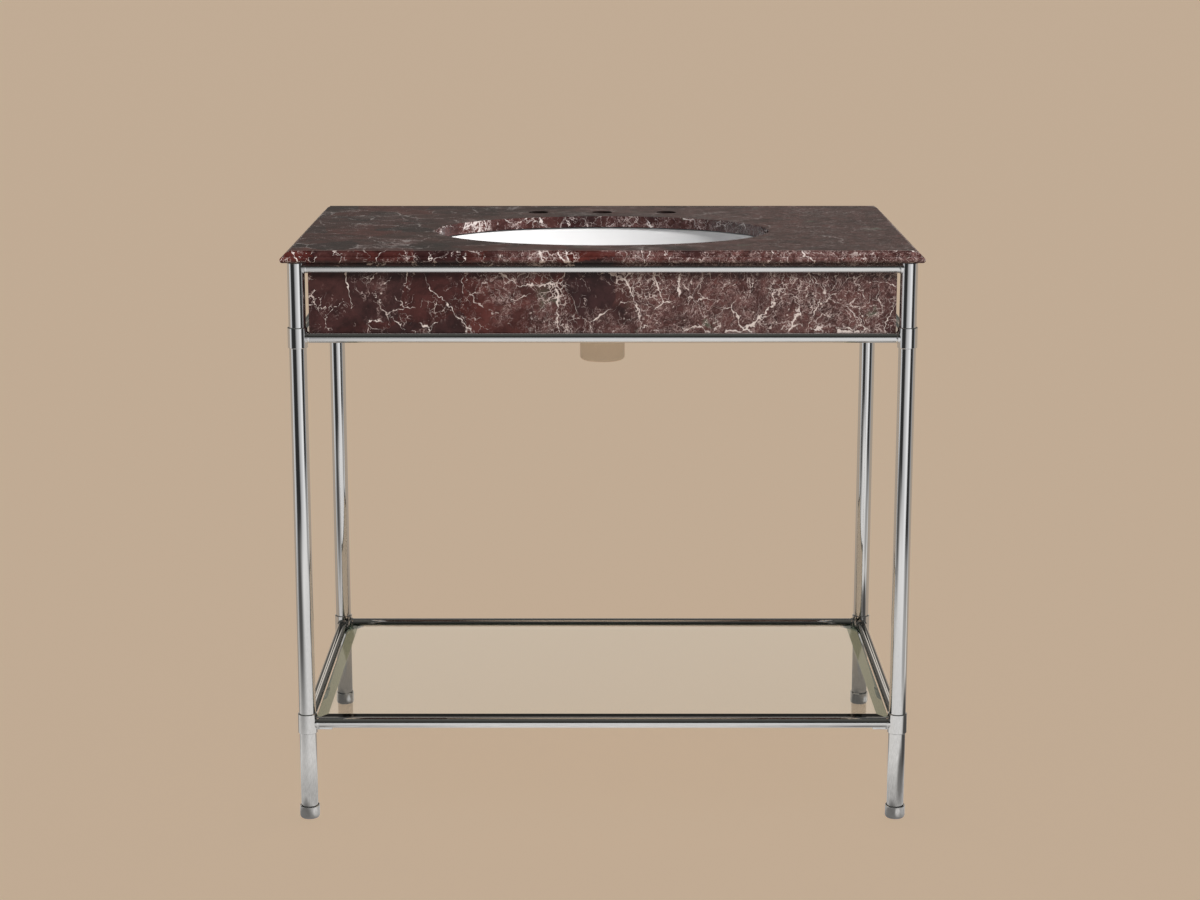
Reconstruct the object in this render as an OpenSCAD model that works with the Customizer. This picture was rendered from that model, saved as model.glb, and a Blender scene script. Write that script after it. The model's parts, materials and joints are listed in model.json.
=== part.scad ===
// Console washstand: a moulded stone slab with an oval undermount basin on a
// polished tube frame, with a stone apron, a bevelled glass shelf and
// levelling feet. Origin at floor level, centred under the slab; the front
// faces -Y, +Z is up.

/* [Slab] */
// Width of the stone slab, outside of the moulding
slab_w = 914; // [760:1:1200]
// Depth of the stone slab, outside of the moulding to the back edge
slab_d = 559; // [520:1:600]
// Thickness of the slab
slab_t = 17; // [17:0.5:20]
// Height of the slab's top face above the floor
height = 851; // [800:1:920]
// How far the edge moulding stands out from the top arris
moulding_w = 12; // [11:0.5:14]

/* [Cut-out and tap holes] */
// Length of the oval cut-out, left to right
oval_w = 502; // [420:2:520]
// Width of the oval cut-out, front to back
oval_d = 346; // [300:2:350]
// Distance of the oval's centre from the slab's back edge
oval_back = 316; // [314:1:320]
// Diameter of each tap hole
tap_d = 32; // [28:0.5:35]
// Distance from the middle tap hole to each outer one
tap_spacing = 102; // [100:1:110]
// Distance of the tap holes from the slab's back edge
tap_back = 88; // [80:1:95]

/* [Basin] */
// Depth of the bowl inside, from its rim to the floor of the bowl
bowl_depth = 130; // [115:1:135]
// Thickness of the bowl's wall
bowl_wall = 10; // [8:0.5:12]
// Width of the flat rim that is clamped under the slab
rim_w = 22; // [18:1:22]
// Diameter of the waste hole
waste_d = 45; // [42:0.5:46]
// Diameter of the boss round the waste hole
boss_d = 68; // [64:1:72]
// Height of the boss below the bowl
boss_h = 38.5; // [30:0.5:45]

/* [Frame] */
// Diameter of the leg tubes
leg_d = 25; // [24:0.5:26]
// Wall thickness of the leg tubes
leg_wall = 1.5; // [1:0.1:2]
// Distance of a leg's axis from the slab's front and side edges
leg_inset = 20.5; // [20:0.5:26]
// Distance of a back leg's axis from the slab's back edge
leg_inset_back = 15.5; // [15:0.5:22]
// Diameter of the rails
rail_d = 16; // [14:0.5:16]
// Wall thickness of the rails
rail_wall = 1.2; // [1:0.1:2]
// Height of the lower apron rails' axes above the floor
apron_rail_z = 725; // [720:1:730]
// Height of the shelf rails' axes above the floor
shelf_rail_z = 147; // [130:1:250]
// Outside diameter of the collars
collar_d = 28.6; // [28:0.1:30]
// Height of the collars
collar_h = 30; // [26:1:34]

/* [Feet] */
// Diameter of a foot's ferrule
foot_d = 29.4; // [28.6:0.1:30]
// Height of a foot's ferrule
foot_h = 19; // [18:1:24]
// Diameter of a foot's threaded stud
stud_d = 10; // [8:1:12]

/* [Apron] */
// Thickness of the stone apron
apron_t = 20; // [15:1:20]
// Distance of the apron's face in front of the rails' axes
apron_lead = 2.5; // [1:0.5:4]

/* [Glass shelf] */
// Thickness of the glass
glass_t = 10; // [8:1:12]
// Height of the glass's top face above the shelf rails' axes
glass_rise = 3; // [2:0.5:5]
// Gap between the glass and the front and back rails
glass_gap = 6.5; // [4:0.5:9]
// Gap between the glass and the side rails
glass_side_gap = 2.5; // [2:0.5:9]
// Width of the polished bevel
bevel_w = 17; // [8:1:20]
// Drop of the bevel at the edge
bevel_drop = 2; // [1:0.5:3]

/* [Hidden] */
$fn = 64;

STONE = [0.34, 0.17, 0.17];
CHROME = [0.80, 0.81, 0.83];
BRASS = [0.72, 0.58, 0.30];
CHINA = [0.93, 0.93, 0.91];
GLASS = [0.72, 0.86, 0.80, 0.5];
STEEL = [0.60, 0.61, 0.62];
SILICONE = [0.20, 0.20, 0.20];

// Heights
under_z = height - slab_t;
pad_t = 1.5;
leg_top_z = under_z - pad_t;
leg_foot_z = 6;
rail_r = rail_d / 2;
top_rail_z = under_z - rail_r - 0.2;

// The four corners, as signs along X and Y, and the legs' axes
FL = [-1, -1];
FR = [1, -1];
BL = [-1, 1];
BR = [1, 1];
CORNERS = [FL, FR, BL, BR];
leg_r = leg_d / 2;
leg_x = slab_w / 2 - leg_inset;
front_y = -slab_d / 2 + leg_inset;
back_y = slab_d / 2 - leg_inset_back;
function leg_y(c) = c[1] < 0 ? front_y : back_y;
function leg_at(c) = [c[0] * leg_x, leg_y(c), 0];

// The flare where a rail meets a leg or a collar
flare_w = 1.5;
flare_l = 2.5;

grub_r = 2;

// Slab edge: a quirk, a quarter round and a bead, from the top arris out
quirk = 1.5;
bead_r = 4.5;
ovolo_r = slab_t - quirk - 2 * bead_r;
edge_steps = 8;
oval_y = slab_d / 2 - oval_back;
tap_y = slab_d / 2 - tap_back;

// Basin
china_steps = 56;
seal_t = 1.5;
rim_t = 14;
rim_z = under_z - seal_t;
bowl_a = oval_w / 2 + 2;
bowl_b = oval_d / 2 + 2;
bowl_shape = 2.6;
seat_r = boss_d / 2 - 2;
seat_drop = 3;
floor_z = rim_z - bowl_depth;
boss_z = floor_z - bowl_wall - boss_h;
boss_round = 8;

// Clips that hold the basin's rim, by their angle round the oval
CLIP_ANGLES = [38, 142, 218, 322];
clip_w = 16;
clip_t = 3;
clip_toe = 12;
clip_heel = 22;
clip_stud_r = 3;
clip_stud_up = 8;
clip_stud_down = 12;

// Apron
apron_half = leg_x - leg_r - 4.5;
apron_face_y = front_y - apron_lead;
apron_back_y = apron_face_y + apron_t;
apron_low_z = apron_rail_z + 2;
apron_high_z = under_z - 1;
bracket_x = 340;
bracket_w = 40;
bracket_t = 2.5;
bracket_drop = 38;
bracket_reach = 27;
screw_r = 2.5;
screw_depth = 10;
screw_head_r = 4.5;
screw_head_h = 3;
screw_spread = 12;

// Glass shelf
glass_top_z = shelf_rail_z + glass_rise;
glass_low_z = glass_top_z - glass_t;
glass_half_x = leg_x - rail_r - glass_side_gap;
glass_front_y = front_y + rail_r + glass_gap;
glass_back_y = back_y - rail_r - glass_gap;
shelf_pad_t = 1;
tab_t = 3;
tab_reach = 36;
tab_inset = 24.5;
shelf_pad_r = 7;

// ---------------------------------------------------------------- stone

// Points of a quarter turn of radius r about (x, z), from angle a0 to a1
function arc(x, z, r, a0, a1, n = edge_steps) =
    [for (i = [0 : n]) let (a = a0 + (a1 - a0) * i / n) [x + r * cos(a), z + r * sin(a)]];

// Moulded edge, seen along the edge: x runs out from the arris, z down from the top
function edge_profile(w) = concat(
    [[0, 0]],
    arc(0, -quirk - ovolo_r, ovolo_r, 90, 0),
    arc(w - bead_r, -slab_t + bead_r, bead_r, 90, -90, 2 * edge_steps)
);

// The same edge turned to the other side, in the reverse order
function mirrored(points) = [for (i = [len(points) - 1 : -1 : 0]) [-points[i][0], points[i][1]]];
function shifted(points, x) = [for (p = points) [p[0] + x, p[1]]];

// Slab section with a moulding on one side, from the far plain edge at x = -span
module section_one_edge(span) {
    polygon(concat([[-span, -slab_t], [-span, 0]], edge_profile(moulding_w)));
}

// Slab section with a moulding on both sides
module section_two_edges(half) {
    edge = shifted(edge_profile(moulding_w), half - moulding_w);
    polygon(concat(mirrored(edge), edge));
}

// An oval prism between two heights
module oval_prism(a, b, z0, z1, n = 96) {
    translate([0, oval_y, z0])
        linear_extrude(height = z1 - z0)
            polygon([for (i = [0 : n - 1]) [a * cos(360 * i / n), b * sin(360 * i / n)]]);
}

module slab_blank() {
    intersection() {
        translate([-slab_w, -slab_d / 2 + moulding_w, height])
            rotate([90, 0, 90])
                mirror([1, 0, 0])
                    linear_extrude(height = 2 * slab_w)
                        section_one_edge(slab_d - moulding_w);
        translate([0, slab_d, height])
            rotate([90, 0, 0])
                linear_extrude(height = 2 * slab_d)
                    section_two_edges(slab_w / 2);
    }
}

module marble_top() {
    color(STONE)
        difference() {
            slab_blank();
            oval_prism(oval_w / 2, oval_d / 2, under_z - 1, height + 1);
            for (i = [-1 : 1])
                translate([i * tap_spacing, tap_y, under_z - 1])
                    cylinder(d = tap_d, h = slab_t + 2);
            for (angle = CLIP_ANGLES)
                at_clip(angle)
                    translate([clip_stud_x(), 0, rim_t + seal_t - 0.01])
                        cylinder(r = clip_stud_r, h = clip_stud_up + 0.01);
            at_bracket_slab_screws()
                cylinder(r = screw_r, h = screw_depth);
        }
}

module marble_apron() {
    color(STONE)
        difference() {
            translate([-apron_half, apron_face_y, apron_low_z])
                cube([2 * apron_half, apron_t, apron_high_z - apron_low_z]);
            for (z = [top_rail_z, apron_rail_z])
                translate([-slab_w, front_y, z])
                    rotate([0, 90, 0])
                        cylinder(r = rail_r, h = 2 * slab_w);
            at_bracket_apron_screws()
                cylinder(r = screw_r, h = screw_depth);
        }
}

// Brackets behind the apron, screwed to its back and to the slab's underside
module at_brackets() {
    for (side = [-1, 1])
        translate([side * bracket_x, apron_back_y, under_z])
            children();
}

module at_bracket_slab_screws() {
    at_brackets()
        for (i = [-1, 1])
            translate([i * screw_spread, bracket_reach * 0.6, 0])
                children();
}

module at_bracket_apron_screws() {
    at_brackets()
        for (i = [-1, 1])
            translate([i * screw_spread, 0, -bracket_drop * 0.6])
                rotate([90, 0, 0])
                    children();
}

module apron_brackets() {
    color(STEEL)
        difference() {
            at_brackets() {
                translate([-bracket_w / 2, 0, -bracket_drop])
                    cube([bracket_w, bracket_t, bracket_drop]);
                translate([-bracket_w / 2, bracket_t / 2, -bracket_t])
                    cube([bracket_w, bracket_reach - bracket_t / 2, bracket_t]);
            }
            at_bracket_slab_screws()
                translate([0, 0, -2 * bracket_t])
                    cylinder(r = screw_r, h = 3 * bracket_t);
            at_bracket_apron_screws()
                translate([0, 0, -2 * bracket_t])
                    cylinder(r = screw_r, h = 3 * bracket_t);
        }
}

// A pan-head screw, its seat at z = -bracket_t and its shank upwards
module bracket_screw() {
    translate([0, 0, -bracket_t])
        cylinder(r = screw_r, h = bracket_t + screw_depth);
    translate([0, 0, -bracket_t - screw_head_h])
        cylinder(r1 = screw_head_r * 0.75, r2 = screw_head_r, h = screw_head_h);
}

module apron_bracket_screws() {
    color(STEEL) {
        at_bracket_slab_screws() bracket_screw();
        at_bracket_apron_screws() bracket_screw();
    }
}

// ---------------------------------------------------------------- basin

// One ring of the basin's skin: half axes a and b at height z
function ring(a, b, z) =
    [for (i = [0 : china_steps - 1])
        let (t = 360 * i / china_steps) [a * cos(t), oval_y + b * sin(t), z]];

// Bowl curve from its edge (t = 0) to its floor (t = 90): [spread, depth], both 0 to 1
function bowl_curve(t) = [pow(cos(t), 2 / bowl_shape), pow(sin(t), 2 / bowl_shape)];

// A ring of a bowl with edge half axes a and b, floor radius r and the given depth
function bowl_ring(a, b, r, depth, t) =
    let (c = bowl_curve(t))
    ring(r + (a - r) * c[0], r + (b - r) * c[0], rim_z - depth * c[1]);

boss_rings = [
    for (a = [0 : 30 : 90])
        let (r = boss_d / 2 - boss_round * (1 - sin(a)))
        ring(r, r, boss_z + boss_round * (1 - cos(a)))
];
outer_rings = [
    for (t = [90 : -8 : 10])
        bowl_ring(bowl_a + bowl_wall, bowl_b + bowl_wall, boss_d / 2, bowl_depth + bowl_wall, t)
];
rim_rings = [
    ring(bowl_a + bowl_wall, bowl_b + bowl_wall, rim_z - rim_t),
    ring(bowl_a + rim_w - 2, bowl_b + rim_w - 2, rim_z - rim_t),
    ring(bowl_a + rim_w, bowl_b + rim_w, rim_z - rim_t + 2),
    ring(bowl_a + rim_w, bowl_b + rim_w, rim_z)
];
inner_rings = [for (t = [0 : 7.5 : 90]) bowl_ring(bowl_a, bowl_b, seat_r, bowl_depth, t)];
seat_rings = [ring(seat_r - 1, seat_r - 1, floor_z - seat_drop)];
basin_rings = concat(boss_rings, outer_rings, rim_rings, inner_rings, seat_rings);

module basin_skin() {
    count = len(basin_rings);
    last = count * china_steps;
    points = concat(
        [for (r = basin_rings, p = r) p],
        [[0, oval_y, boss_z], [0, oval_y, floor_z - seat_drop]]
    );
    walls = [
        for (k = [0 : count - 2], i = [0 : china_steps - 1])
            let (j = (i + 1) % china_steps, low = k * china_steps, high = low + china_steps)
            each [[low + i, high + i, high + j], [low + i, high + j, low + j]]
    ];
    caps = [
        for (i = [0 : china_steps - 1])
            let (j = (i + 1) % china_steps, top = last - china_steps)
            each [[last, i, j], [last + 1, top + j, top + i]]
    ];
    polyhedron(points = points, faces = concat(walls, caps));
}

module basin() {
    color(CHINA)
        difference() {
            basin_skin();
            translate([0, oval_y, boss_z - 1])
                cylinder(d = waste_d, h = floor_z - boss_z + 2);
        }
}

module basin_seal() {
    color(SILICONE)
        difference() {
            oval_prism(bowl_a + 12, bowl_b + 12, rim_z, under_z);
            oval_prism(bowl_a + 1, bowl_b + 1, rim_z - 1, under_z + 1);
        }
}

// Places a clip on the rim's edge at an angle round the oval, x pointing outwards,
// z = 0 at the underside of the rim
module at_clip(angle) {
    a = bowl_a + rim_w;
    b = bowl_b + rim_w;
    translate([a * cos(angle), oval_y + b * sin(angle), rim_z - rim_t])
        rotate([0, 0, atan2(sin(angle) / b, cos(angle) / a)])
            children();
}

function clip_stud_x() = clip_heel * 0.4;

// A clip with its toe under the rim and its heel against the slab
module clip() {
    difference() {
        union() {
            translate([-clip_toe, -clip_w / 2, -clip_t])
                cube([clip_toe + clip_heel, clip_w, clip_t]);
            translate([clip_heel - clip_t, -clip_w / 2, -clip_t / 2])
                cube([clip_t, clip_w, rim_t + seal_t + clip_t / 2]);
        }
        translate([clip_stud_x(), 0, -2 * clip_t])
            cylinder(r = clip_stud_r, h = 3 * clip_t);
    }
}

module clip_stud() {
    translate([clip_stud_x(), 0, -clip_stud_down])
        cylinder(r = clip_stud_r, h = clip_stud_down + rim_t + seal_t + clip_stud_up);
}

// A wing nut under the clip
module clip_nut() {
    translate([clip_stud_x(), 0, -clip_t])
        difference() {
            union() {
                translate([0, 0, -6])
                    cylinder(r1 = 4.5, r2 = 6, h = 6);
                for (turn = [0, 180])
                    rotate([0, 0, turn])
                        translate([4, -1, -11])
                            cube([8, 2, 9]);
            }
            translate([0, 0, -20])
                cylinder(r = clip_stud_r, h = 30);
        }
}

module basin_clips() {
    color(STEEL)
        for (angle = CLIP_ANGLES) at_clip(angle) clip();
}

module basin_clip_studs() {
    color(STEEL)
        for (angle = CLIP_ANGLES) at_clip(angle) clip_stud();
}

module basin_clip_nuts() {
    color(BRASS)
        for (angle = CLIP_ANGLES) at_clip(angle) clip_nut();
}

// ---------------------------------------------------------------- frame

module leg(c) {
    color(CHROME)
        translate(leg_at(c) + [0, 0, leg_foot_z])
            difference() {
                cylinder(r = leg_r, h = leg_top_z - leg_foot_z);
                translate([0, 0, -1])
                    cylinder(r = leg_r - leg_wall, h = height);
            }
}

// Solid plugs that close the tops of the legs
module leg_plugs() {
    color(BRASS)
        for (c = CORNERS)
            translate(leg_at(c) + [0, 0, leg_top_z - 20])
                cylinder(r = leg_r - leg_wall, h = 20);
}

// Threaded bushes for the feet, in the lower ends of the legs
module leg_bushes() {
    color(BRASS)
        for (c = CORNERS)
            translate(leg_at(c) + [0, 0, leg_foot_z + 2])
                difference() {
                    cylinder(r = leg_r - leg_wall, h = 22);
                    translate([0, 0, -1])
                        cylinder(r = stud_d / 2 + 0.05, h = 24);
                }
}

// Cushioning discs between the legs and the slab
module slab_pads() {
    color(SILICONE)
        for (c = CORNERS)
            translate(leg_at(c) + [0, 0, leg_top_z])
                cylinder(r = leg_r - 0.5, h = pad_t);
}

// A levelling foot's ferrule, which covers the lower end of the leg; its mouth is
// turned wider than the leg
module foot(c) {
    floor_r = foot_d / 2 - 1.8;
    mouth_r = foot_d / 2 - 1;
    mouth_h = 3;
    color(CHROME)
        translate(leg_at(c))
            difference() {
                rotate_extrude()
                    polygon(concat(
                        [[0, 0], [floor_r, 0], [floor_r + 0.9, 1]],
                        [[foot_d / 2, 3.5], [foot_d / 2, foot_h - 1]],
                        [[foot_d / 2 - 0.4, foot_h], [0, foot_h]]
                    ));
                translate([0, 0, leg_foot_z])
                    cylinder(r = leg_r + 0.05, h = foot_h);
                translate([0, 0, foot_h - mouth_h])
                    cylinder(r = mouth_r, h = 2 * mouth_h);
                translate([0, 0, 2])
                    cylinder(d = stud_d, h = foot_h);
            }
}

module foot_stud(c) {
    color(STEEL)
        translate(leg_at(c) + [0, 0, 2])
            cylinder(d = stud_d, h = 44);
}

// Flare at a rail's end, seen along the rail: base at z = 0, tip at z = flare_l
module flare(depth) {
    rotate_extrude()
        polygon(concat(
            [[0, -depth], [rail_r + flare_w, -depth], [rail_r + flare_w, 0]],
            [for (i = [1 : 5]) let (t = i * 18)
                [rail_r + flare_w * (1 - sin(t)) + 0.15, flare_l * (1 - cos(t))]],
            [[0, flare_l]]
        ));
}

// Points children along a rail that leaves corner c inwards, 0 along X, 1 along Y
module along_rail(c, direction) {
    if (direction == 0)
        rotate([0, -90 * c[0], 0]) children();
    else
        rotate([90 * c[1], 0, 0]) children();
}

// A collar that holds two rails on a leg
module collar(c, z) {
    r = collar_d / 2;
    h = collar_h / 2;
    chamfer = 0.7;
    color(CHROME)
        translate(leg_at(c) + [0, 0, z])
            difference() {
                union() {
                    rotate_extrude()
                        polygon([
                            [0, -h], [r - chamfer, -h], [r, -h + chamfer],
                            [r, h - chamfer], [r - chamfer, h], [0, h]
                        ]);
                    for (direction = [0, 1])
                        along_rail(c, direction)
                            translate([0, 0, r])
                                flare(r - 4);
                }
                translate([0, 0, -collar_h])
                    cylinder(r = leg_r, h = 2 * collar_h);
                for (direction = [0, 1])
                    along_rail(c, direction)
                        cylinder(r = rail_r, h = 2 * r);
                grub_place(c) grub_hole();
            }
}

// The grub screw's place in a collar's inner corner, z pointing outwards
module grub_place(c) {
    translate([0, 0, collar_h * 0.27])
        rotate([0, 0, atan2(-c[1], -c[0])])
            rotate([0, 90, 0])
                children();
}

module grub_hole() {
    cylinder(r = grub_r, h = collar_d);
}

module collar_grub_screws() {
    color(STEEL)
        for (c = CORNERS, z = [apron_rail_z, shelf_rail_z])
            translate(leg_at(c) + [0, 0, z])
                grub_place(c)
                    translate([0, 0, leg_r])
                        cylinder(r = grub_r, h = 1.5);
}

// What lies beyond the mitre between the two flares at corner c
module beyond_mitre(c, direction) {
    reach = 2 * leg_r;
    gap = 0.02;
    scale([-c[0], -c[1], 1])
        translate([0, 0, -rail_d])
            linear_extrude(height = 2 * rail_d)
                polygon(direction == 0
                    ? [[gap, 0], [reach + gap, reach], [0, reach]]
                    : [[0, gap], [reach, reach + gap], [reach, 0]]);
}

// A tube from leg to leg, its ends saddled to the legs, between corners a and b;
// the flares of a rail right under the slab are cut flat below it
module rail(a, b, z, flared = false) {
    start = leg_at(a);
    span = norm(leg_at(b) - start);
    direction = a[0] == b[0] ? 1 : 0;
    color(CHROME)
        difference() {
            union() {
                translate(start + [0, 0, z])
                    along_rail(a, direction)
                        cylinder(r = rail_r, h = span);
                if (flared)
                    for (c = [a, b])
                        translate(leg_at(c) + [0, 0, z])
                            along_rail(c, direction)
                                translate([0, 0, leg_r])
                                    flare(leg_r - 4);
            }
            translate(start + [0, 0, z])
                along_rail(a, direction)
                    cylinder(r = rail_r - rail_wall, h = span);
            for (c = [a, b])
                translate(leg_at(c) + [0, 0, z - 2 * rail_d])
                    cylinder(r = leg_r, h = 4 * rail_d);
            if (flared) {
                for (c = [a, b])
                    translate(leg_at(c) + [0, 0, z])
                        beyond_mitre(c, direction);
                translate([-slab_w, -slab_d, under_z - 0.1])
                    cube([2 * slab_w, 2 * slab_d, 4 * rail_d]);
            }
        }
}

// ---------------------------------------------------------------- shelf

module glass_blank(inset, z0, z1) {
    x = glass_half_x - inset;
    translate([-x, glass_front_y + inset, z0])
        cube([2 * x, glass_back_y - glass_front_y - 2 * inset, z1 - z0]);
}

// Half plane that slopes down to the glass's edge, which lies at x = 0
module bevel_cut(length) {
    translate([0, length / 2, glass_top_z])
        rotate([90, 0, 0])
            linear_extrude(height = length)
                polygon([[-bevel_w, 0], [1, -bevel_drop * (1 + 1 / bevel_w)], [1, 1], [-bevel_w, 1]]);
}

module glass_shelf() {
    mid_y = (glass_front_y + glass_back_y) / 2;
    half_y = (glass_back_y - glass_front_y) / 2;
    color(GLASS)
        difference() {
            glass_blank(0, glass_low_z, glass_top_z);
            translate([0, mid_y, 0])
                for (side = [0, 1]) {
                    mirror([side, 0, 0])
                        translate([glass_half_x, 0, 0])
                            bevel_cut(4 * half_y);
                    mirror([0, side, 0])
                        translate([0, half_y, 0])
                            rotate([0, 0, 90])
                                bevel_cut(4 * glass_half_x);
                }
        }
}

// Tabs in the corners of the shelf frame, which carry the glass
module shelf_tabs() {
    z = glass_low_z - shelf_pad_t - tab_t;
    color(CHROME)
        for (c = CORNERS)
            translate(leg_at(c) + [0, 0, z])
                difference() {
                    scale([-c[0], -c[1], 1])
                        linear_extrude(height = tab_t)
                            polygon([[0, 0], [tab_reach, 0], [tab_reach, 12], [12, tab_reach], [0, tab_reach]]);
                    translate([0, 0, -1])
                        cylinder(d = collar_d, h = tab_t + 2);
                    translate([0, 0, shelf_rail_z - z])
                        for (direction = [0, 1])
                            along_rail(c, direction)
                                cylinder(r = rail_r + flare_w + 0.1, h = collar_d / 2 + flare_l + 0.1);
                }
}

module shelf_pads() {
    color(SILICONE)
        for (c = CORNERS)
            translate(leg_at(c) + [-c[0] * tab_inset, -c[1] * tab_inset, glass_low_z - shelf_pad_t])
                cylinder(r = shelf_pad_r, h = shelf_pad_t);
}

marble_top();
marble_apron();
apron_brackets();
apron_bracket_screws();
basin();
basin_seal();
basin_clips();
basin_clip_studs();
basin_clip_nuts();
leg(FL);  // leg_front_left
leg(FR);  // leg_front_right
leg(BL);  // leg_back_left
leg(BR);  // leg_back_right
leg_plugs();
leg_bushes();
slab_pads();
foot(FL);  // foot_front_left
foot(FR);  // foot_front_right
foot(BL);  // foot_back_left
foot(BR);  // foot_back_right
foot_stud(FL);  // foot_stud_front_left
foot_stud(FR);  // foot_stud_front_right
foot_stud(BL);  // foot_stud_back_left
foot_stud(BR);  // foot_stud_back_right
collar(FL, apron_rail_z);  // apron_collar_front_left
collar(FR, apron_rail_z);  // apron_collar_front_right
collar(BL, apron_rail_z);  // apron_collar_back_left
collar(BR, apron_rail_z);  // apron_collar_back_right
collar(FL, shelf_rail_z);  // shelf_collar_front_left
collar(FR, shelf_rail_z);  // shelf_collar_front_right
collar(BL, shelf_rail_z);  // shelf_collar_back_left
collar(BR, shelf_rail_z);  // shelf_collar_back_right
collar_grub_screws();
rail(FL, FR, top_rail_z, true);  // top_rail_front
rail(BL, BR, top_rail_z, true);  // top_rail_back
rail(FL, BL, top_rail_z, true);  // top_rail_left
rail(FR, BR, top_rail_z, true);  // top_rail_right
rail(FL, FR, apron_rail_z);  // apron_rail_front
rail(BL, BR, apron_rail_z);  // apron_rail_back
rail(FL, BL, apron_rail_z);  // apron_rail_left
rail(FR, BR, apron_rail_z);  // apron_rail_right
rail(FL, FR, shelf_rail_z);  // shelf_rail_front
rail(BL, BR, shelf_rail_z);  // shelf_rail_back
rail(FL, BL, shelf_rail_z);  // shelf_rail_left
rail(FR, BR, shelf_rail_z);  // shelf_rail_right
glass_shelf();
shelf_tabs();
shelf_pads();
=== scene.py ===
import bpy, bmesh, json, math
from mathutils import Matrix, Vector

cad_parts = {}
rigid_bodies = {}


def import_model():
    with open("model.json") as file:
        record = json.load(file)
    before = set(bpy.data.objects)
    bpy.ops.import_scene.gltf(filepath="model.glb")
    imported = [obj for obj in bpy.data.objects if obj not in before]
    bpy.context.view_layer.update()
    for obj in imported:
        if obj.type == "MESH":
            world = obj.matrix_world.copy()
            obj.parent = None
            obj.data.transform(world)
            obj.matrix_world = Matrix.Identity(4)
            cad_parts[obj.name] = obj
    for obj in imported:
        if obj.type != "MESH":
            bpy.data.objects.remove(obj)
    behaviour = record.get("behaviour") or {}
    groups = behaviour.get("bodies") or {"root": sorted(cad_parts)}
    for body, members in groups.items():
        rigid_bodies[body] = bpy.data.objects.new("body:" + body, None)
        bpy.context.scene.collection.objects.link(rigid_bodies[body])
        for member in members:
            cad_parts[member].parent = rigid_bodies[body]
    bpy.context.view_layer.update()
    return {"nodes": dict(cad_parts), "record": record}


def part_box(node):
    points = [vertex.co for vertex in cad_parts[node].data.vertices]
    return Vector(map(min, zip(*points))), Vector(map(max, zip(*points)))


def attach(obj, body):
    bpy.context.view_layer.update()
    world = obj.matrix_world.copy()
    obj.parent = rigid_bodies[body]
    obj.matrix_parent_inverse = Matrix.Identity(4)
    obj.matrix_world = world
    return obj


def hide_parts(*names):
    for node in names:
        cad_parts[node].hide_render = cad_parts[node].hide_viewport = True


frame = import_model()


def corners(node):
    """A CAD node's lowest and highest corner, to a hundredth of a millimetre."""
    return [[round(value, 5) for value in corner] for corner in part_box(node)]


# Sizes and places that the frame holds, in metres
MOUNTS = {mount["name"]: mount for mount in frame["record"]["mounts"]}
(_, _, SLAB_UNDER), (SLAB_HALF, SLAB_BACK, SLAB_TOP) = corners("marble_top")
(_, _, BOSS_UNDER), (_, _, RIM_TOP) = corners("basin")
TAP_HOLES = [MOUNTS["tap_hole_" + side]["pos_m"][:2] for side in ("left", "middle", "right")]
TAP_R = MOUNTS["tap_hole_middle"]["dims"]["r_mm"] / 1000
WASTE_R = MOUNTS["waste"]["dims"]["r_mm"] / 1000
OVAL_Y = MOUNTS["waste"]["pos_m"][1]
LEG_FRONT = MOUNTS["floor_front_right"]["pos_m"][1]
LEG_X, LEG_BACK = MOUNTS["floor_back_right"]["pos_m"][:2]

# Width of the glass shelf's bevel, for its shape and for the dark reflection painted on it
GLASS_BEVEL = 0.017


# ---------------------------------------------------------------- modelling

def put_down():
    """Leaves edit mode with nothing selected."""
    if bpy.context.object and bpy.context.object.mode != "OBJECT":
        bpy.ops.object.mode_set(mode="OBJECT")
    bpy.ops.object.select_all(action="DESELECT")


def take_up(piece, mode="EDIT", by="FACE"):
    """Makes one piece the active one, in edit mode unless told otherwise."""
    put_down()
    bpy.context.view_layer.objects.active = piece
    piece.select_set(True)
    if mode == "EDIT":
        bpy.ops.object.mode_set(mode="EDIT")
        bpy.ops.mesh.select_mode(type=by)


def named(name):
    """Names the piece that was just added, and its mesh."""
    piece = bpy.context.object
    piece.name = piece.data.name = name
    return piece


def settle(piece):
    """Moves the piece's place, turn and scale into its mesh."""
    take_up(piece, mode="OBJECT")
    bpy.ops.object.transform_apply(location=True, rotation=True, scale=True)


def stretch(size, shift):
    """Resizes and then moves the whole mesh that is in edit mode."""
    bpy.ops.mesh.select_all(action="SELECT")
    bpy.ops.transform.resize(value=size)
    bpy.ops.transform.translate(value=shift)


def pick(piece, kind, test=lambda co: True):
    """Selects the faces or edges whose corners all pass the test."""
    bpy.ops.mesh.select_mode(type=kind)
    bpy.ops.mesh.select_all(action="DESELECT")
    mesh = bmesh.from_edit_mesh(piece.data)
    parts = mesh.faces if kind == "FACE" else mesh.edges
    for part in parts:
        part.select = all(test(corner.co) for corner in part.verts)
    mesh.select_flush_mode()
    bmesh.update_edit_mesh(piece.data)


def weld(gap):
    """Joins points that are closer than the gap, and turns all faces outwards."""
    bpy.ops.mesh.select_all(action="SELECT")
    bpy.ops.mesh.remove_doubles(threshold=gap)
    bpy.ops.mesh.normals_make_consistent(inside=False)


def node_block(node, name):
    """A plain block of a CAD node's size and place."""
    low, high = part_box(node)
    put_down()
    bpy.ops.mesh.primitive_cube_add(size=1, location=(low + high) / 2, scale=high - low)
    block = named(name)
    settle(block)
    return block


def rod(radius, centre, length, axis, sides=48):
    """A plain rod to cut with."""
    put_down()
    turn = {"X": (0, math.pi / 2, 0), "Z": (0, 0, 0)}[axis]
    bpy.ops.mesh.primitive_cylinder_add(vertices=sides, radius=radius, depth=length,
                                        location=centre, rotation=turn)
    cutter = named("cutter")
    settle(cutter)
    return cutter


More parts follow.
